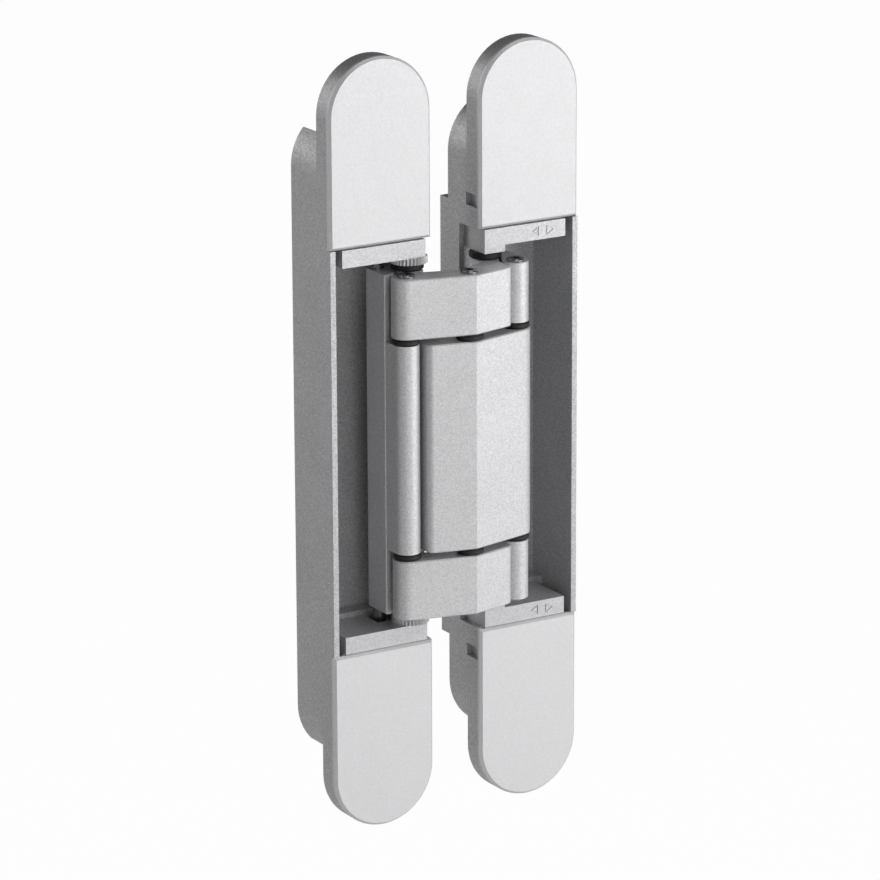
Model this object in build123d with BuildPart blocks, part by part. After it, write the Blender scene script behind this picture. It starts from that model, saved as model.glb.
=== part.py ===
from build123d import *
import os

# A concealed door hinge, opened flat. The frame leaf stands at -X and the
# door leaf at +X, both front faces lie at Y = 0, +Y goes into the wood and
# +Z is up. The origin is the middle of the gap between the two leaves, at
# half height. Sizes are millimetres. In every function side is -1 for the
# frame leaf and +1 for the door leaf.

# Leaf faces and shells
face_length = 245.0
face_width = 35.5
leaf_gap = 17.4
flange_thickness = 7.8
body_depth = 24.4
shell_wall = 1.8
back_wall = 1.6
back_fillet = 1.2
frame_body_inset = 18.25
end_notch_inset = 12.5
end_notch_radius = 17.7
door_body_inset = 18.75
door_step_depth = 18.9
door_deep_half = 71.0
inner_wall_start = 12.3

# Covers and screw holes beneath them
cover_thickness = 1.8
cover_bevel = 0.8
cover_gap = 0.2
cover_rim = 1.6
cover_hollow = 0.7
peg_radius = 1.5
peg_length = 2.4
peg_fit = 0.1
peg_from_centre = 8.0
screw_hole_radius = 2.75
screw_sink_radius = 5.2
screw_hole_spacing = 17.0
screw_hole_inset = 14.5
pry_slot_inset = 6.6
pry_slot_height = 4.0
pry_slot_depth = 6.5

# Carriers in the ends of the pockets
end_pocket_inset = 37.5
end_pocket_depth = 17.4
pocket_shoulder = 1.7
carrier_length = 26.2
carrier_shown = 5.7
carrier_fit = 0.1
carrier_outer_gap = 2.5
carrier_front = 0.3
carrier_under_cover = 0.3
pad_height = 2.1
pad_width = 7.3
mark_centre = 31.5
mark_radius = 1.9
mark_line = 0.35
mark_spacing = 4.6
mark_depth = 0.25

# Screws that clamp and shift the carriers
clamp_radius = 2.0
clamp_head_radius = 3.5
clamp_head_height = 3.0
clamp_cover_gap = 0.4
clamp_inset = 7.0
clamp_slot = 1.0
clamp_thread_depth = 5.0
clamp_key = 1.75
clamp_key_depth = 2.0
side_screw_radius = 3.0
side_screw_from_end = 6.0
side_screw_depth = 9.0
side_key = 1.75
side_key_depth = 6.0

# Linkage, seen from above: distance from the mirror plane and depth
pivot_x = 14.0
pivot_depth = 5.6
guide_x = 20.8
guide_depth = 12.4
centre_depth = -8.0
wing_x = 19.6
wing_depth = -3.0

# Arms
arm_gap = 2.4
knuckle_gap = 2.1
middle_half = 33.2
wing_radius = 4.6
pivot_knuckle = 4.0
corner_reach = 3.8
corner_radius = 0.5
shoulder_radius = 4.2
leg_front_inset = 1.0
leg_front_rise = 0.8
leg_front_radius = 2.0
leg_waist_inset = 1.6
leg_waist_drop = 6.1
leg_waist_radius = 2.5
deep_inset = 1.8
deep_drop = 3.0
deep_radius = 1.8
arm_bevel = 0.35

# Links
barrel_radius = 4.1
guide_knuckle = 3.3
waist_offset = 2.2
waist_drop = 7.6
waist_radius = 2.2
horn_outer = 4.2
horn_inner = 3.0
horn_drop = 5.6
horn_radius = 0.4

# Pins and washers
pin_fit = 0.05
link_pin_radius = 2.0
pin_head_radius = 2.8
pin_head_height = 0.9
pin_head_bevel = 0.35
hex_key = 1.45
hex_depth = 1.5
pivot_pin_radius = 2.3
pivot_pin_entry = 7.3
stud_radius = 2.0
stud_gap = 0.9
stud_end_gap = 2.2
stud_travel_in = 1.65
stud_travel_front = 1.2
stud_seat = 8.0
stud_collar = 2.4
stud_collar_height = 0.8
washer_fit = 0.1
washer_bevel = 0.5
link_washer_radius = 4.3
pivot_washer_radius = 5.1
disc_radius = 5.9
disc_offset = 0.8
disc_height = 2.1
knurl_squares = 8

# Derived positions
leaf_inner = leaf_gap / 2
leaf_outer = leaf_inner + face_width
leaf_centre = leaf_inner + face_width / 2
end_radius = face_width / 2
pocket_inner = leaf_inner + shell_wall
pocket_outer = leaf_outer - shell_wall
end_pocket_half = face_length / 2 - end_pocket_inset
carrier_start = end_pocket_half - carrier_fit - carrier_length
pocket_half = carrier_start - pocket_shoulder
cover_start = carrier_start + carrier_shown
pad_start = carrier_start - pad_height
arm_half = pad_start - arm_gap
yoke_start = middle_half + knuckle_gap
pivot_pin_half = carrier_start + pivot_pin_entry
slot_top = cover_start - cover_gap
stud_reach = slot_top - stud_end_gap
clamp_height = cover_start + clamp_head_radius + clamp_cover_gap
side_screw_height = end_pocket_half - side_screw_from_end
screw_hole_height = face_length / 2 - screw_hole_inset
pry_slot_start = cover_start + pry_slot_inset
end_notch_centre = face_length / 2 - end_notch_inset
carrier_inner = pocket_inner + carrier_fit
carrier_outer = pocket_outer - carrier_outer_gap
slot_across = (
    guide_x - stud_radius - stud_travel_in - stud_gap,
    guide_x + stud_radius + stud_gap,
)
slot_depths = (
    guide_depth - stud_radius - stud_travel_front - stud_gap,
    end_pocket_depth + stud_gap,
)
peg_high = face_length / 2 - peg_from_centre

pivot = (pivot_x, pivot_depth)
guide = (guide_x, guide_depth)
centre = (0, centre_depth)
far_wing = (-wing_x, wing_depth)
near_wing = (wing_x, wing_depth)
corner = (0, centre_depth - corner_reach, corner_radius)
leg_waist = (pivot_x - leg_waist_inset, pivot_depth - leg_waist_drop, leg_waist_radius)


def front(depth):
    """Plane parallel to the leaf faces, at this depth."""
    return Plane.XZ.offset(-depth)


def hull_of(side, discs):
    """Plan outline stretched round the discs, each (x, depth, radius)."""
    with BuildSketch() as outline:
        for x, depth, radius in discs:
            with Locations((side * x, depth)):
                Circle(radius)
        make_hull()
    return outline.sketch


def bar(outlines, low, high):
    """Raise the plan outlines from one height to another."""
    for outline in outlines:
        with BuildSketch(Plane.XY.offset(low)) as plan:
            add(outline)
        extrude(plan.sketch, amount=high - low)


def rod(side, place, radius, low, high, mode=Mode.ADD):
    """Upright round bar at a plan position, or a bore where mode cuts."""
    with BuildSketch(Plane.XY.offset(low)) as plan:
        with Locations((side * place[0], place[1])):
            Circle(radius)
    extrude(plan.sketch, amount=high - low, mode=mode)


def block(side, x_range, depth_range, height_range, mode=Mode.ADD):
    """Box given by its distances from the mirror plane, depths and heights."""
    width = x_range[1] - x_range[0]
    depth = depth_range[1] - depth_range[0]
    height = height_range[1] - height_range[0]
    with Locations((side * sum(x_range) / 2, sum(depth_range) / 2, sum(height_range) / 2)):
        Box(width, depth, height, mode=mode)


def both_ends(side, x_range, depth_range, height_range, mode=Mode.ADD):
    """The same box at the top and at the bottom."""
    block(side, x_range, depth_range, height_range, mode)
    block(side, x_range, depth_range, (-height_range[1], -height_range[0]), mode)


def leaf_slab(side, half_length, start, end):
    """Round-ended slab as wide as a leaf, between two depths."""
    with BuildSketch(front(start)) as outline:
        with Locations((side * leaf_centre, 0)):
            SlotOverall(2 * half_length, face_width, rotation=90)
    extrude(outline.sketch, amount=start - end)


def leaf_openings(side):
    """Pocket, end pockets, cover seats, screw holes and slots of a leaf."""
    past = flange_thickness
    pocket_depth = body_depth - back_wall
    across = (pocket_inner, pocket_outer)
    block(side, across, (-past, pocket_depth), (-pocket_half, pocket_half), Mode.SUBTRACT)
    ends = (-end_pocket_half, end_pocket_half)
    block(side, across, (-past, end_pocket_depth), ends, Mode.SUBTRACT)
    # The side that faces the other leaf is cut away to let the arms out.
    side_wall = (leaf_inner - past, pocket_inner)
    opening = (-cover_start, cover_start)
    block(side, side_wall, (-past, inner_wall_start), opening, Mode.SUBTRACT)
    # The covers lie in seats that take their full thickness.
    seat_across = (leaf_inner - past, leaf_outer + past)
    seat_height = (cover_start, face_length)
    both_ends(side, seat_across, (-past, cover_thickness), seat_height, Mode.SUBTRACT)
    # A small slot in the side lets a screwdriver lift each cover.
    pry_depths = (cover_thickness, cover_thickness + pry_slot_depth)
    pry_heights = (pry_slot_start, pry_slot_start + pry_slot_height)
    both_ends(side, side_wall, pry_depths, pry_heights, Mode.SUBTRACT)
    for end in (-1, 1):
        with Locations(front(cover_thickness)):
            with Locations((side * leaf_centre, end * screw_hole_height)):
                with GridLocations(screw_hole_spacing, 0, 2, 1):
                    CounterSinkHole(screw_hole_radius, screw_sink_radius)
            with Locations((side * leaf_centre, end * peg_high)):
                Hole(peg_radius + peg_fit, depth=peg_length + peg_fit)
    for place in clamp_places(side):
        rod_in(place, clamp_radius + pin_fit, end_pocket_depth, clamp_thread_depth)


def clamp_places(side):
    """Positions of the clamp screws at the two ends of a leaf, as (x, z)."""
    x = side * (carrier_outer - clamp_inset)
    return [(x, -clamp_height), (x, clamp_height)]


def rod_in(place, radius, start, length, mode=Mode.SUBTRACT):
    """Round bar or bore that runs into the leaf from a depth."""
    with BuildSketch(front(start)) as outline:
        with Locations(place):
            Circle(radius)
    extrude(outline.sketch, amount=-length, mode=mode)


def back_edges(part, depth):
    """Edges round the back face of a leaf at this depth."""
    return part.faces().filter_by(Axis.Y).sort_by(Axis.Y)[-1].outer_wire().edges()


# Frame housing: flange and a body whose ends are hollowed round the screws
with BuildPart() as frame_housing:
    leaf_slab(-1, face_length / 2 - frame_body_inset, flange_thickness, body_depth)
    for end in (-1, 1):
        notch = (-leaf_centre, end * end_notch_centre)
        rod_in(notch, end_notch_radius, flange_thickness, body_depth)
    fillet(back_edges(frame_housing, body_depth), back_fillet)
    leaf_slab(-1, face_length / 2, 0, flange_thickness)
    leaf_openings(-1)
frame_housing.part.label = "frame_housing"

# Door housing: flange, a rounded shallow body and a deeper middle
with BuildPart() as door_housing:
    leaf_slab(1, face_length / 2, 0, flange_thickness)
    leaf_slab(1, face_length / 2 - door_body_inset, flange_thickness, door_step_depth)
    deep_across = (leaf_inner, leaf_outer)
    deep = (flange_thickness, body_depth)
    block(1, deep_across, deep, (-door_deep_half, door_deep_half))
    fillet(back_edges(door_housing, body_depth), back_fillet)
    leaf_openings(1)
door_housing.part.label = "door_housing"


def cover_outline(side, end, inset):
    """Outline of a cover on its front plane, drawn in by the inset."""
    length = face_length - 2 * inset
    cut_from = cover_start + cover_gap + inset
    with BuildSketch() as outline:
        with Locations((side * leaf_centre, 0)):
            SlotOverall(length, face_width - 2 * inset, rotation=90)
        with Locations((side * leaf_centre, end * (cut_from - face_length))):
            Rectangle(2 * face_width, 2 * face_length, mode=Mode.SUBTRACT)
    return outline.sketch


def cover(side, end):
    """Plate with one round end, hollow behind its rim."""
    with BuildSketch(front(0)) as plate:
        add(cover_outline(side, end, 0))
    extrude(plate.sketch, amount=-cover_thickness)
    with BuildSketch(front(cover_thickness)) as hollow:
        add(cover_outline(side, end, cover_rim))
    extrude(hollow.sketch, amount=cover_hollow, mode=Mode.SUBTRACT)


def finish_cover(side, end, plate):
    """Bevel the front rim and set the peg."""
    rim = plate.faces().sort_by(Axis.Y)[0].edges()
    chamfer(rim, cover_bevel)
    place = (side * leaf_centre, end * peg_high)
    rod_in(place, peg_radius, cover_thickness - cover_hollow, cover_hollow + peg_length, Mode.ADD)


with BuildPart() as frame_cover_top:
    cover(-1, 1)
    finish_cover(-1, 1, frame_cover_top)
frame_cover_top.part.label = "frame_cover_top"

with BuildPart() as frame_cover_bottom:
    cover(-1, -1)
    finish_cover(-1, -1, frame_cover_bottom)
frame_cover_bottom.part.label = "frame_cover_bottom"

with BuildPart() as door_cover_top:
    cover(1, 1)
    finish_cover(1, 1, door_cover_top)
door_cover_top.part.label = "door_cover_top"

with BuildPart() as door_cover_bottom:
    cover(1, -1)
    finish_cover(1, -1, door_cover_bottom)
door_cover_bottom.part.label = "door_cover_bottom"


def carrier(side, end):
    """Sliding block that holds the pivot pin and the guide slot."""
    across = (carrier_inner, carrier_outer)

    def heights(low, high):
        return (low, high) if end > 0 else (-high, -low)

    under = cover_thickness + carrier_under_cover
    visible = heights(carrier_start, slot_top)
    hidden = heights(carrier_start, end_pocket_half - carrier_fit)
    block(side, across, (carrier_front, end_pocket_depth), visible)
    block(side, across, (under, end_pocket_depth), hidden)
    bore_low, bore_high = heights(carrier_start, pivot_pin_half)
    rod(side, pivot, pivot_pin_radius + pin_fit, bore_low, bore_high, Mode.SUBTRACT)
    guide_heights = heights(carrier_start, slot_top)
    block(side, slot_across, slot_depths, guide_heights, Mode.SUBTRACT)
    slot = clamp_radius + clamp_slot
    head_bed = clamp_head_radius + clamp_cover_gap
    for place in clamp_places(side):
        if place[1] * end > 0:
            rod_in(place, slot, under, end_pocket_depth)
            rod_in(place, head_bed, under, clamp_head_height + carrier_under_cover)
    screw_place = (side * leaf_centre, end * side_screw_height)
    rod_in(screw_place, side_screw_radius + pin_fit, under, side_screw_depth)


def carrier_marks(side, end):
    """Two small outlined arrow heads cut into the visible front."""
    middle = end * (carrier_start + slot_top) / 2
    with BuildSketch(front(carrier_front)) as marks:
        for way in (-1, 1):
            with Locations((side * mark_centre + way * mark_spacing / 2, middle)):
                RegularPolygon(mark_radius, 3, rotation=90 - 90 * way)
                inner = mark_radius - 2 * mark_line
                RegularPolygon(inner, 3, rotation=90 - 90 * way, mode=Mode.SUBTRACT)
    extrude(marks.sketch, amount=-mark_depth, mode=Mode.SUBTRACT)


def carrier_pad(side, end):
    """Raised pad round the pivot, on the carriers without a loose disc."""
    low, high = sorted((end * pad_start, end * carrier_start))
    reach = (carrier_inner, carrier_inner + pad_width)
    block(side, reach, (carrier_front, end_pocket_depth), (low, high))
    block(side, slot_across, slot_depths, (low, high), Mode.SUBTRACT)
    rod(side, pivot, pivot_pin_radius + pin_fit, low, high, Mode.SUBTRACT)


with BuildPart() as frame_carrier_top:
    carrier(-1, 1)
frame_carrier_top.part.label = "frame_carrier_top"

with BuildPart() as frame_carrier_bottom:
    carrier(-1, -1)
frame_carrier_bottom.part.label = "frame_carrier_bottom"

with BuildPart() as door_carrier_top:
    carrier(1, 1)
    carrier_pad(1, 1)
    carrier_marks(1, 1)
door_carrier_top.part.label = "door_carrier_top"

with BuildPart() as door_carrier_bottom:
    carrier(1, -1)
    carrier_pad(1, -1)
    carrier_marks(1, -1)
door_carrier_bottom.part.label = "door_carrier_bottom"


def arm_wing(side):
    """Plan outline of the arm between its far pivot and the centre pivot."""
    return hull_of(side, [(*far_wing, wing_radius), (*centre, shoulder_radius), corner])


def arm_leg(side):
    """Plan outlines of the arm from the centre pivot to its own pivot."""
    elbow = (pivot_x - leg_front_inset, centre_depth + leg_front_rise, leg_front_radius)
    shoulder = (*centre, shoulder_radius)
    leg = hull_of(side, [corner, shoulder, elbow, leg_waist])
    root = hull_of(side, [leg_waist, (*pivot, pivot_knuckle)])
    return [leg, root]


def deep_leg(side):
    """Plan outline of the full-height part of an arm round its own pivot."""
    tip = (pivot_x - deep_inset, pivot_depth - deep_drop, deep_radius)
    return hull_of(side, [tip, (*pivot, pivot_knuckle)])


def end_rims(part, height):
    """Straight and outer edges of an arm at one height, without the bores."""
    rims = part.edges().filter_by_position(Axis.Z, height, height)
    return rims.filter_by(lambda edge: edge.geom_type != GeomType.CIRCLE or not edge.is_closed)


# Frame arm: a broad middle wing and a full-height leg
with BuildPart() as frame_arm:
    bar([arm_wing(-1)] + arm_leg(-1), -middle_half, middle_half)
    chamfer(end_rims(frame_arm, middle_half), arm_bevel)
    chamfer(end_rims(frame_arm, -middle_half), arm_bevel)
    bar([deep_leg(-1)], -arm_half, arm_half)
    rod(-1, pivot, pivot_pin_radius + pin_fit, -arm_half, arm_half, Mode.SUBTRACT)
    rod(-1, centre, link_pin_radius + pin_fit, -arm_half, arm_half, Mode.SUBTRACT)
    rod(-1, far_wing, link_pin_radius + pin_fit, -arm_half, arm_half, Mode.SUBTRACT)
frame_arm.part.label = "frame_arm"

# Door arm: two yokes, above and below the frame arm, and a full-height leg
with BuildPart() as door_arm:
    bar([arm_wing(1)] + arm_leg(1), yoke_start, arm_half)
    chamfer(end_rims(door_arm, yoke_start), arm_bevel)
    chamfer(end_rims(door_arm, arm_half), arm_bevel)
    mirror(about=Plane.XY)
    bar([deep_leg(1)], -arm_half, arm_half)
    rod(1, pivot, pivot_pin_radius + pin_fit, -arm_half, arm_half, Mode.SUBTRACT)
    rod(1, centre, link_pin_radius + pin_fit, -arm_half, arm_half, Mode.SUBTRACT)
    rod(1, far_wing, link_pin_radius + pin_fit, -arm_half, arm_half, Mode.SUBTRACT)
door_arm.part.label = "door_arm"


def link_front(side):
    """Plan outlines of a link round its wing pivot and back to its waist."""
    waist = (guide_x + waist_offset / 2, guide_depth - waist_drop, waist_radius)
    barrel = hull_of(side, [(*near_wing, barrel_radius), waist])
    neck = hull_of(side, [waist, (*guide, guide_knuckle)])
    return [barrel, neck]


def link_back(side):
    """Plan outline of the full-height part of a link."""
    waist = (guide_x + waist_offset / 2, guide_depth - waist_drop, waist_radius)
    horn_depth = wing_depth + horn_drop
    horn = (wing_x + horn_outer, horn_depth, horn_radius)
    horn_root = (wing_x + horn_inner, horn_depth, horn_radius)
    return hull_of(side, [horn, horn_root, waist, (*guide, guide_knuckle)])


# Frame link: one long barrel between the yokes of the door arm
with BuildPart() as frame_link:
    bar([link_back(-1)], -arm_half, arm_half)
    bar(link_front(-1), -middle_half, middle_half)
    rod(-1, near_wing, link_pin_radius + pin_fit, -arm_half, arm_half, Mode.SUBTRACT)
    for end in (-1, 1):
        seat_low, seat_high = sorted((end * (arm_half - stud_seat), end * arm_half))
        rod(-1, guide, stud_radius + pin_fit, seat_low, seat_high, Mode.SUBTRACT)
frame_link.part.label = "frame_link"

# Door link: a short barrel above and below the wing of the frame arm
with BuildPart() as door_link:
    bar([link_back(1)], -arm_half, arm_half)
    bar(link_front(1), yoke_start, arm_half)
    bar(link_front(1), -arm_half, -yoke_start)
    rod(1, near_wing, link_pin_radius + pin_fit, -arm_half, arm_half, Mode.SUBTRACT)
    for end in (-1, 1):
        seat_low, seat_high = sorted((end * (arm_half - stud_seat), end * arm_half))
        rod(1, guide, stud_radius + pin_fit, seat_low, seat_high, Mode.SUBTRACT)
door_link.part.label = "door_link"


def headed_pin(side, place):
    """Through pin with a low hexagon-socket head at both ends."""
    rod(side, place, link_pin_radius, -arm_half, arm_half)
    rod(side, place, pin_head_radius, arm_half, arm_half + pin_head_height)
    rod(side, place, pin_head_radius, -arm_half - pin_head_height, -arm_half)


def finish_pin(side, place, pin):
    """Bevel both heads and cut the hexagon sockets."""
    rims = pin.faces().filter_by(Axis.Z).sort_by(Axis.Z)
    chamfer(rims[0].edges() + rims[-1].edges(), pin_head_bevel)
    socket_floor = arm_half + pin_head_height - hex_depth
    for low in (socket_floor, -socket_floor - hex_depth):
        with BuildSketch(Plane.XY.offset(low)) as socket:
            with Locations((side * place[0], place[1])):
                RegularPolygon(hex_key, 6)
        extrude(socket.sketch, amount=hex_depth, mode=Mode.SUBTRACT)


with BuildPart() as centre_pin:
    headed_pin(1, centre)
    finish_pin(1, centre, centre_pin)
centre_pin.part.label = "centre_pin"

with BuildPart() as frame_link_pin:
    headed_pin(-1, near_wing)
    finish_pin(-1, near_wing, frame_link_pin)
frame_link_pin.part.label = "frame_link_pin"

with BuildPart() as door_link_pin:
    headed_pin(1, near_wing)
    finish_pin(1, near_wing, door_link_pin)
door_link_pin.part.label = "door_link_pin"

with BuildPart() as frame_pivot_pin:
    rod(-1, pivot, pivot_pin_radius, -pivot_pin_half, pivot_pin_half)
frame_pivot_pin.part.label = "frame_pivot_pin"

with BuildPart() as door_pivot_pin:
    rod(1, pivot, pivot_pin_radius, -pivot_pin_half, pivot_pin_half)
door_pivot_pin.part.label = "door_pivot_pin"


def guide_studs(side):
    """Collared stub pins at the top and the bottom of a link."""
    rod(side, guide, stud_radius, arm_half - stud_seat, stud_reach)
    rod(side, guide, stud_collar, arm_half, arm_half + stud_collar_height)
    mirror(about=Plane.XY)


with BuildPart() as frame_guide_studs:
    guide_studs(-1)
frame_guide_studs.part.label = "frame_guide_studs"

with BuildPart() as door_guide_studs:
    guide_studs(1)
door_guide_studs.part.label = "door_guide_studs"


def washer_pair(side, place, outer, inner, low, high):
    """Flat washers at equal heights above and below the middle."""
    rod(side, place, outer, low, high)
    rims = edges().filter_by(GeomType.CIRCLE)
    chamfer(rims, washer_bevel)
    rod(side, place, inner, low, high, Mode.SUBTRACT)
    mirror(about=Plane.XY)


link_bore = link_pin_radius + pin_fit
washer_top = yoke_start - washer_fit
with BuildPart() as centre_washers:
    washer_pair(1, centre, link_washer_radius, link_bore, middle_half, washer_top)
centre_washers.part.label = "centre_washers"

with BuildPart() as frame_link_washers:
    washer_pair(-1, near_wing, link_washer_radius, link_bore, middle_half, washer_top)
frame_link_washers.part.label = "frame_link_washers"

with BuildPart() as door_link_washers:
    washer_pair(1, near_wing, link_washer_radius, link_bore, middle_half, washer_top)
door_link_washers.part.label = "door_link_washers"

pivot_bore = pivot_pin_radius + pin_fit
washer_low = arm_half + washer_fit
with BuildPart() as frame_pivot_washers:
    frame_disc_start = carrier_start - disc_height
    washer_pair(-1, pivot, pivot_washer_radius, pivot_bore, washer_low, frame_disc_start)
frame_pivot_washers.part.label = "frame_pivot_washers"

with BuildPart() as door_pivot_washers:
    washer_pair(1, pivot, pivot_washer_radius, pivot_bore, washer_low, pad_start)
door_pivot_washers.part.label = "door_pivot_washers"

# Knurled discs between the frame carriers and the washers. Squares turned
# in equal steps leave a ring of points round the rim.
with BuildPart() as frame_adjusting_discs:
    with BuildSketch(Plane.XY.offset(frame_disc_start)) as knurled:
        with Locations((-pivot_x, pivot_depth - disc_offset)):
            for step in range(knurl_squares):
                RegularPolygon(disc_radius, 4, rotation=90 * step / knurl_squares)
    extrude(knurled.sketch, amount=disc_height)
    rod(-1, pivot, pivot_bore, frame_disc_start, carrier_start, Mode.SUBTRACT)
    mirror(about=Plane.XY)
frame_adjusting_discs.part.label = "frame_adjusting_discs"


def socket_screw(place, head, head_height, shank, start, end, key, key_depth):
    """Screw that runs into the leaf, with a hexagon socket in its head."""
    rod_in(place, head, start, head_height, Mode.ADD)
    rod_in(place, shank, start, end - start, Mode.ADD)
    with BuildSketch(front(start)) as socket:
        with Locations(place):
            RegularPolygon(key, 6)
    extrude(socket.sketch, amount=-key_depth, mode=Mode.SUBTRACT)


def clamp_screws(side):
    """Clamp screws that hold the carriers of one leaf."""
    start = cover_thickness + 2 * carrier_under_cover
    end = end_pocket_depth + clamp_thread_depth
    for place in clamp_places(side):
        socket_screw(
            place,
            clamp_head_radius,
            clamp_head_height,
            clamp_radius,
            start,
            end,
            clamp_key,
            clamp_key_depth,
        )


with BuildPart() as frame_clamp_screws:
    clamp_screws(-1)
frame_clamp_screws.part.label = "frame_clamp_screws"

with BuildPart() as door_clamp_screws:
    clamp_screws(1)
door_clamp_screws.part.label = "door_clamp_screws"


def side_screws(side):
    """Socket set screws that shift the carriers of one leaf sideways."""
    start = cover_thickness + 2 * carrier_under_cover
    end = cover_thickness + carrier_under_cover + side_screw_depth
    for way in (-1, 1):
        place = (side * leaf_centre, way * side_screw_height)
        socket_screw(
            place,
            side_screw_radius,
            end - start,
            side_screw_radius,
            start,
            end,
            side_key,
            side_key_depth,
        )


with BuildPart() as frame_side_screws:
    side_screws(-1)
frame_side_screws.part.label = "frame_side_screws"

with BuildPart() as door_side_screws:
    side_screws(1)
door_side_screws.part.label = "door_side_screws"

parts = [
    frame_housing,
    door_housing,
    frame_cover_top,
    frame_cover_bottom,
    door_cover_top,
    door_cover_bottom,
    frame_carrier_top,
    frame_carrier_bottom,
    door_carrier_top,
    door_carrier_bottom,
    frame_arm,
    door_arm,
    frame_link,
    door_link,
    centre_pin,
    frame_link_pin,
    door_link_pin,
    frame_pivot_pin,
    door_pivot_pin,
    frame_guide_studs,
    door_guide_studs,
    centre_washers,
    frame_link_washers,
    door_link_washers,
    frame_pivot_washers,
    door_pivot_washers,
    frame_adjusting_discs,
    frame_clamp_screws,
    door_clamp_screws,
    frame_side_screws,
    door_side_screws,
]
os.makedirs("parts", exist_ok=True)
for built in parts:
    export_step(built.part, f"parts/{built.part.label}.step")
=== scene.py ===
import math

import bpy
import numpy as np
from mathutils import Matrix, Vector


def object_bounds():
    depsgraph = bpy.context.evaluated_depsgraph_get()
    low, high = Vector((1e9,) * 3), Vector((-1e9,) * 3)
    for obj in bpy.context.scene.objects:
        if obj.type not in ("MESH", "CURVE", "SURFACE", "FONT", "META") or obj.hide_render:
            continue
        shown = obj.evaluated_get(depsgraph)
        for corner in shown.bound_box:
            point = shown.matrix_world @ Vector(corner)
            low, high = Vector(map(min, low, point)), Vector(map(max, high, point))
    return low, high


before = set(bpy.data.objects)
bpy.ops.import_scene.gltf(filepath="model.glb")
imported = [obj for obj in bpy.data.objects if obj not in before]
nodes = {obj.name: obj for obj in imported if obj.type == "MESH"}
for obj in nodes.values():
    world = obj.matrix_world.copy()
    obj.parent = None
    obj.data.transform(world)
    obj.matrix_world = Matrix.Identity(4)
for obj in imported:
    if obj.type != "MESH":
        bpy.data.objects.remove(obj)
solids_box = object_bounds()

# Housings: two zinc die castings, one for the door frame and one for the
# door's edge, sprayed with a satin silver paint that holds fine metal flakes.
# The flakes show as a fine sparkle on every face that looks at the light.


class Wire:
    """A socket of a material. Signs between wires and numbers add Math nodes."""

    def __init__(self, tree, socket=None):
        self.tree = tree
        self.socket = socket

    def make(self, kind, settings, inputs, output=0):
        """Adds a node: settings first, then a value or a wire for each input."""
        node = self.tree.nodes.new(kind)
        for name, value in settings.items():
            setattr(node, name, value)
        for name, value in inputs.items():
            if isinstance(value, Wire):
                self.tree.links.new(value.socket, node.inputs[name])
            else:
                node.inputs[name].default_value = value
        return Wire(self.tree, node.outputs[output])

    def combine(self, operation, first, second):
        """Adds a Math node for one operation on two values or wires."""
        return self.make("ShaderNodeMath", {"operation": operation}, {0: first, 1: second})

    def __add__(self, other):
        return self.combine("ADD", self, other)

    def __radd__(self, other):
        return self.combine("ADD", other, self)

    def __sub__(self, other):
        return self.combine("SUBTRACT", self, other)

    def __rsub__(self, other):
        return self.combine("SUBTRACT", other, self)

    def __mul__(self, other):
        return self.combine("MULTIPLY", self, other)

    def __rmul__(self, other):
        return self.combine("MULTIPLY", other, self)

    def __pow__(self, other):
        return self.combine("POWER", self, other)

    def clamp(self):
        """The value, kept between 0 and 1."""
        return self.combine("MAXIMUM", self.combine("MINIMUM", self, 1.0), 0.0)


def new_material(name):
    """An empty material with its output node, as (material, wire, output)."""
    material = bpy.data.materials.new(name)
    material.use_nodes = True
    material.node_tree.nodes.clear()
    output = material.node_tree.nodes.new("ShaderNodeOutputMaterial")
    return material, Wire(material.node_tree), output


def blend_colours(wire, factor, low, high):
    """A colour that runs from low to high as the factor runs from 0 to 1.

    A Mix node takes its two colours at sockets 6 and 7 and gives one at 2.
    """
    settings = {"data_type": "RGBA", "clamp_factor": True}
    low = (*low, 1.0)
    high = (*high, 1.0)
    return wire.make("ShaderNodeMix", settings, {0: factor, 6: low, 7: high}, 2)


def flake_paint(name, dark, pale, rough, metal, bump):
    """Satin silver paint: flakes of about a third of a millimetre, with a soft cast grain."""
    flakes_per_metre = 3000.0
    grain_per_metre = 1400.0
    cloud_per_metre = 60.0
    flake_share = 0.5
    grain_share = 0.32
    cloud_share = 0.18
    relief_height = 0.00006
    grain_roughness = 0.12
    flake_smoothness = 0.16
    flake_contrast = 3.0
    material, wire, output = new_material(name)
    place = wire.make("ShaderNodeTexCoord", {}, {}, "Object")
    flake = wire.make(
        "ShaderNodeTexVoronoi",
        {"feature": "F1"},
        {"Vector": place, "Scale": flakes_per_metre, "Randomness": 1.0},
        "Color",
    )
    shine = wire.make("ShaderNodeSeparateColor", {}, {0: flake}, 0)
    grain = wire.make(
        "ShaderNodeTexNoise", {}, {"Vector": place, "Scale": grain_per_metre, "Detail": 3.0}, 0
    )
    cloud = wire.make(
        "ShaderNodeTexNoise", {}, {"Vector": place, "Scale": cloud_per_metre, "Detail": 2.0}, 0
    )
    tone = (flake_share * shine + grain_share * grain + cloud_share * cloud).clamp()
    colour = blend_colours(wire, tone, dark, pale)
    sparkle = shine**flake_contrast
    roughness = rough + grain_roughness * grain - flake_smoothness * sparkle
    normal = wire.make(
        "ShaderNodeBump",
        {},
        {"Strength": bump, "Distance": relief_height, "Height": 0.5 * grain + 0.5 * shine},
    )
    shader = wire.make(
        "ShaderNodeBsdfPrincipled",
        {},
        {
            "Base Color": colour,
            "Metallic": metal,
            "Roughness": roughness.clamp(),
            "Normal": normal,
        },
    )
    wire.tree.links.new(shader.socket, output.inputs["Surface"])
    return material


def coat(material, *names):
    """Puts the material in every slot of the named nodes."""
    for name in names:
        for slot in nodes[name].material_slots:
            slot.material = material


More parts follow.
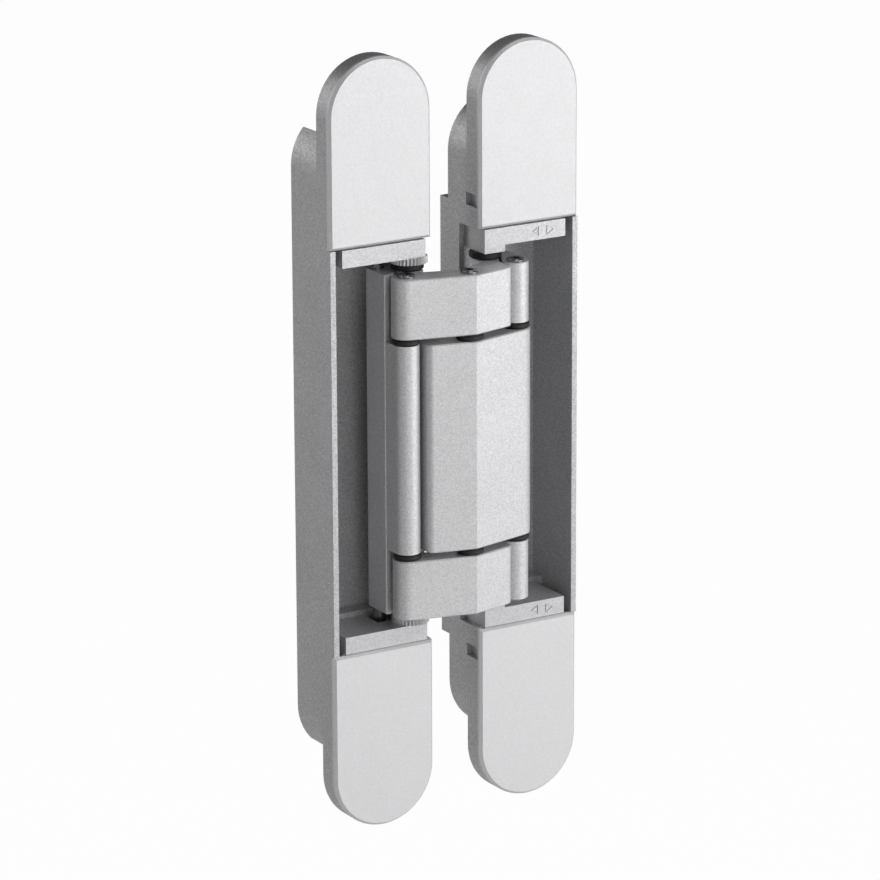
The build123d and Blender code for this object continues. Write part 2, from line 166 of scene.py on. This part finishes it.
housing_paint = flake_paint(
    "housing_silver",
    dark=(0.27, 0.27, 0.28),
    pale=(0.66, 0.66, 0.67),
    rough=0.46,
    metal=0.5,
    bump=0.5,
)
coat(housing_paint, "frame_housing", "door_housing")

# Covers: four bare plates, one over the screws at each end of each leaf.
# They are cast and sprayed like the housings, with a bevel round the rim.
cover_paint = flake_paint(
    "cover_silver",
    dark=(0.61, 0.61, 0.62),
    pale=(0.71, 0.71, 0.72),
    rough=0.5,
    metal=0.3,
    bump=0.08,
)
coat(cover_paint, "frame_cover_top", "frame_cover_bottom")
coat(cover_paint, "door_cover_top", "door_cover_bottom")

# Carriers: die-cast blocks that slide in the ends of the pockets and hold
# the pivot pins. The knurled discs of the frame leaf have the same paint.
carrier_paint = flake_paint(
    "carrier_silver",
    dark=(0.38, 0.38, 0.39),
    pale=(0.62, 0.62, 0.63),
    rough=0.45,
    metal=0.5,
    bump=0.25,
)
coat(carrier_paint, "frame_carrier_top", "frame_carrier_bottom")
coat(carrier_paint, "door_carrier_top", "door_carrier_bottom")
coat(carrier_paint, "frame_adjusting_discs")

# Arms and links: the four steel members that cross between the leaves,
# sintered, tumbled and sprayed in a brighter silver than the housings.
arm_paint = flake_paint(
    "arm_silver",
    dark=(0.43, 0.43, 0.44),
    pale=(0.76, 0.76, 0.77),
    rough=0.42,
    metal=0.45,
    bump=0.35,
)
coat(arm_paint, "frame_arm", "door_arm", "frame_link", "door_link")

# Pins and studs: turned steel, smooth and bare, so that the rims of the
# pins' heads catch the light. Their dark tone is partly the steel's own
# colour and partly painted shade, which makes the keys in the heads look dark.


def turned_steel(name, tone, rough):
    """Bare steel with a faint uneven shine."""
    patches_per_metre = 900.0
    patch_roughness = 0.15
    material, wire, output = new_material(name)
    place = wire.make("ShaderNodeTexCoord", {}, {}, "Object")
    wear = wire.make(
        "ShaderNodeTexNoise", {}, {"Vector": place, "Scale": patches_per_metre, "Detail": 2.0}, 0
    )
    shader = wire.make(
        "ShaderNodeBsdfPrincipled",
        {},
        {
            "Base Color": (*tone, 1.0),
            "Metallic": 0.9,
            "Roughness": (rough + patch_roughness * wear).clamp(),
        },
    )
    wire.tree.links.new(shader.socket, output.inputs["Surface"])
    return material


# The low tone is partly painted shade for the recessed keys of the pins' heads.
pin_steel = turned_steel("pin_steel", tone=(0.27, 0.27, 0.28), rough=0.1)
coat(pin_steel, "centre_pin", "frame_link_pin", "door_link_pin")
coat(pin_steel, "frame_pivot_pin", "door_pivot_pin")
coat(pin_steel, "frame_guide_studs", "door_guide_studs")

# Screws: the clamp screws and set screws beneath the covers, zinc plated,
# with a pale and slightly dull shine.
screw_zinc = turned_steel("screw_zinc", tone=(0.55, 0.56, 0.58), rough=0.28)
coat(screw_zinc, "frame_clamp_screws", "door_clamp_screws")
coat(screw_zinc, "frame_side_screws", "door_side_screws")

# Washers: flat black plastic discs between the knuckles, which keep the
# members from rubbing the paint off each other.
washer_black, black_wire, black_output = new_material("washer_black")
black_shader = black_wire.make(
    "ShaderNodeBsdfPrincipled", {}, {"Base Color": (0.005, 0.005, 0.005, 1.0), "Roughness": 0.6}
)
black_wire.tree.links.new(black_shader.socket, black_output.inputs["Surface"])
coat(washer_black, "centre_washers", "frame_link_washers", "door_link_washers")
coat(washer_black, "frame_pivot_washers", "door_pivot_washers")

# Floor and background: a pale floor some way below the hinge, which hangs
# free as it does in a product picture, against plain white. The floor glows
# for the camera, and more faintly in reflections.
floor_drop = 0.1975
floor_height = float(solids_box[0][2]) - floor_drop
floor_half = 6.0
glow_share = 0.98
mirror_share = 0.4
floor_mesh = bpy.data.meshes.new("floor")
corners = np.array([(-1, -1), (1, -1), (1, 1), (-1, 1)]) * floor_half
floor_points = np.column_stack((corners, np.full(4, floor_height)))
floor_mesh.from_pydata(floor_points.tolist(), [], [(0, 1, 2, 3)])
floor = bpy.data.objects.new("floor", floor_mesh)
bpy.context.scene.collection.objects.link(floor)
floor_paint, floor_wire, floor_output = new_material("floor_white")
seen = floor_wire.make("ShaderNodeLightPath", {}, {}, "Is Camera Ray")
mirrored = floor_wire.make("ShaderNodeLightPath", {}, {}, "Is Glossy Ray")
dull = floor_wire.make("ShaderNodeBsdfDiffuse", {}, {"Color": (0.85, 0.85, 0.85, 1.0)})
glow = floor_wire.make(
    "ShaderNodeEmission", {}, {"Color": (1.0, 1.0, 1.0, 1.0), "Strength": 1.0}
)
lit = glow_share * (seen + mirror_share * mirrored).clamp()
floor_mix = floor_wire.make("ShaderNodeMixShader", {}, {0: lit, 1: dull, 2: glow})
floor_wire.tree.links.new(floor_mix.socket, floor_output.inputs["Surface"])
floor_mesh.materials.append(floor_paint)

world = bpy.data.worlds.new("studio")
bpy.context.scene.world = world
world.use_nodes = True
world.node_tree.nodes.clear()
sky_wire = Wire(world.node_tree)
sky_output = world.node_tree.nodes.new("ShaderNodeOutputWorld")
sky_seen = sky_wire.make("ShaderNodeLightPath", {}, {}, "Is Camera Ray")
ambient = 0.04
sky = sky_wire.make(
    "ShaderNodeBackground",
    {},
    {"Color": (1.0, 1.0, 1.0, 1.0), "Strength": ambient + (1.0 - ambient) * sky_seen},
)
world.node_tree.links.new(sky.socket, sky_output.inputs["Surface"])


# Lamps: five soft panels, as in a light tent. The strong one stands to the
# right of the camera, weaker ones in front, overhead and on the left, and one
# behind the hinge lights the side that the camera doesn't see.
def panel(name, place, size, power):
    """A square soft lamp that faces the hinge, with its power in watts."""
    lamp = bpy.data.lights.new(name, "AREA")
    lamp.shape = "SQUARE"
    lamp.size = size
    lamp.energy = power
    holder = bpy.data.objects.new(name, lamp)
    bpy.context.scene.collection.objects.link(holder)
    holder.location = place
    holder.rotation_mode = "QUATERNION"
    holder.rotation_quaternion = (-Vector(place)).to_track_quat("-Z", "Y")


panel("key_panel", place=(1.0, -1.22, 0.25), size=1.4, power=23.5)
panel("front_panel", place=(-0.4, -1.5, 0.2), size=0.8, power=3.6)
panel("top_panel", place=(0.1, -0.7, 1.5), size=0.9, power=2.5)
panel("left_panel", place=(-1.45, -0.55, 0.5), size=0.9, power=1.8)
panel("back_panel", place=(-0.9, 1.25, 0.5), size=1.0, power=6.5)

# Camera: at the photograph's viewing point, left of the hinge and above it,
# with a long lens and no shift. Its angles are in degrees.
camera_place = (-0.7358, -1.2091, 0.4111)
camera_turn = 31.118
camera_pitch = 16.235
camera_roll = 0.217
camera_lens = 195.03
camera_data = bpy.data.cameras.new("camera")
camera_data.sensor_width = 36.0
camera_data.lens = camera_lens
camera = bpy.data.objects.new("camera", camera_data)
bpy.context.scene.collection.objects.link(camera)
turn = Matrix.Rotation(math.radians(-camera_turn), 4, "Z")
tilt = Matrix.Rotation(math.radians(90.0 - camera_pitch), 4, "X")
roll = Matrix.Rotation(math.radians(-camera_roll), 4, "Z")
camera.matrix_world = Matrix.Translation(camera_place) @ turn @ tilt @ roll
camera_data.clip_start = 0.05
camera_data.clip_end = 50.0
bpy.context.scene.camera = camera
bpy.context.scene.view_settings.view_transform = "Standard"
